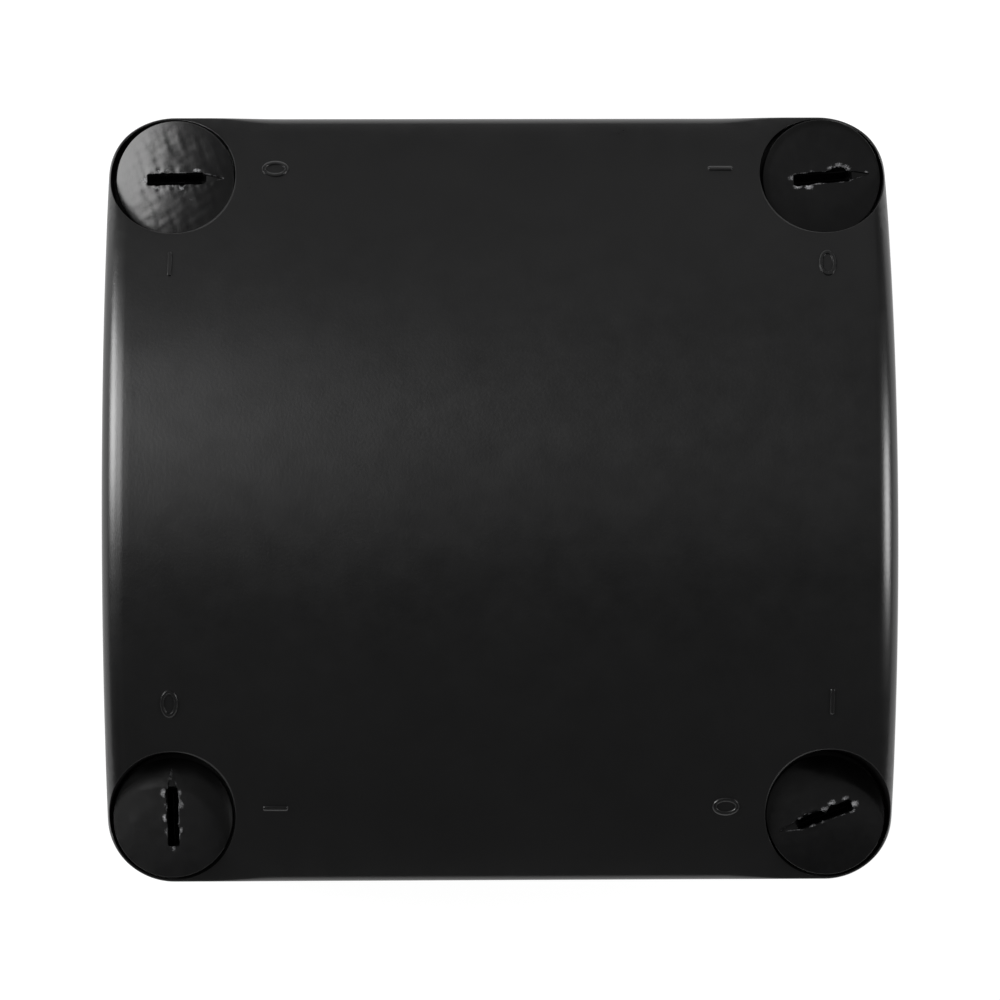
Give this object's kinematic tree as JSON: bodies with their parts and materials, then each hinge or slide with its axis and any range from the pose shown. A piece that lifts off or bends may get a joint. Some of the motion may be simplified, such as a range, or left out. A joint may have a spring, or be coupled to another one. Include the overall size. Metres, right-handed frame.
{
  "type": "mesh wifi node",
  "caption": "Square weatherproof radio housing with an arched lift-off lid on quarter-turn screws, holding a radio board, side antennas and sealed cable entries.",
  "frame": {"origin": "centre of the back face, where the node lies against its wall or mast bracket", "axes": "+Z out of the lid, +X right and +Y up as the lid is seen on a wall, with the cable entries in the -Y wall"},
  "size_m": [0.11, 0.1084, 0.066],
  "materials": {
    "housing": "fine-grained black polypropylene",
    "screw": "smooth black nylon",
    "seal": "matt black elastomer",
    "vent": "matt dark plastic",
    "membrane": "white porous film",
    "board": "green solder resist on glass laminate",
    "chip": "moulded black package",
    "connector": "moulded black",
    "terminal": "moulded green",
    "ferrite": "sintered dark grey",
    "capacitor": "sleeved can",
    "led": "clear resin in a white case",
    "ceramic": "glazed ceramic",
    "button": "moulded red",
    "foam": "grey foam",
    "coax": "grey cable jacket",
    "steel": "zinc plated",
    "tin": "tin-plated sheet",
    "gold": "gold plated",
    "heatsink": "black anodised"
  },
  "bodies": {
    "housing": {"base_box": "housing", "ethernet_entry_seal": "seal", "power_entry_seal": "seal", "vent_plug": "vent", "vent_membrane": "membrane", "main_board": "board", "board_screw_1": "steel", "board_screw_2": "steel", "board_screw_3": "steel", "board_screw_4": "steel", "processor": "chip", "thermal_pad": "foam", "heatsink": "heatsink", "memory_chip_1": "chip", "memory_chip_2": "chip", "flash_chip": "chip", "radio_chip": "chip", "radio_shield_fence": "tin", "radio_shield_cover": "tin", "ethernet_transformer": "chip", "ethernet_jack_shield": "tin", "ethernet_jack_insert": "connector", "power_inductor": "ferrite", "power_transformer": "ferrite", "capacitor_1": "capacitor", "capacitor_2": "capacitor", "surge_arrester": "ceramic", "terminal_block": "terminal", "terminal_screw_1": "steel", "terminal_screw_2": "steel", "terminal_screw_3": "steel", "status_led_1": "led", "status_led_2": "led", "status_led_3": "led", "reset_switch": "connector", "antenna_left": "board", "antenna_right": "board", "antenna_pad_left": "foam", "antenna_pad_right": "foam", "antenna_socket_left": "gold", "antenna_socket_right": "gold", "antenna_plug_left": "gold", "antenna_plug_right": "gold", "antenna_lead_left": "coax", "antenna_lead_right": "coax"},
    "cover": {"lid": "housing", "lid_gasket": "seal"},
    "screw_top_left": {"lid_screw_top_left": "screw"},
    "screw_bottom_left": {"lid_screw_bottom_left": "screw"},
    "screw_bottom_right": {"lid_screw_bottom_right": "screw"},
    "screw_top_right": {"lid_screw_top_right": "screw"},
    "reset_plunger": {"reset_button": "button"}
  },
  "joints": [
    {"name": "lid_lift", "type": "slide", "parent": "housing", "child": "cover", "axis": [0, 0, 1], "range_m": [0, 0.06]},
    {"name": "screw_turn_top_left", "type": "hinge", "parent": "cover", "child": "screw_top_left", "pos_m": [-0.0458, 0.045, 0.05], "axis": [0, 0, 1], "range_deg": [-91, 99]},
    {"name": "screw_turn_bottom_left", "type": "hinge", "parent": "cover", "child": "screw_bottom_left", "pos_m": [-0.0458, -0.045, 0.05], "axis": [0, 0, 1], "range_deg": [-92, 98]},
    {"name": "screw_turn_bottom_right", "type": "hinge", "parent": "cover", "child": "screw_bottom_right", "pos_m": [0.0458, -0.045, 0.05], "axis": [0, 0, 1], "range_deg": [-110, 80]},
    {"name": "screw_turn_top_right", "type": "hinge", "parent": "cover", "child": "screw_top_right", "pos_m": [0.0458, 0.045, 0.05], "axis": [0, 0, 1], "range_deg": [-185, 5]},
    {"name": "reset_press", "type": "slide", "parent": "housing", "child": "reset_plunger", "axis": [0, 0, -1], "range_m": [0, 0.0005], "stiffness_N_per_m": 600, "springref_m": -0.001}
  ]
}
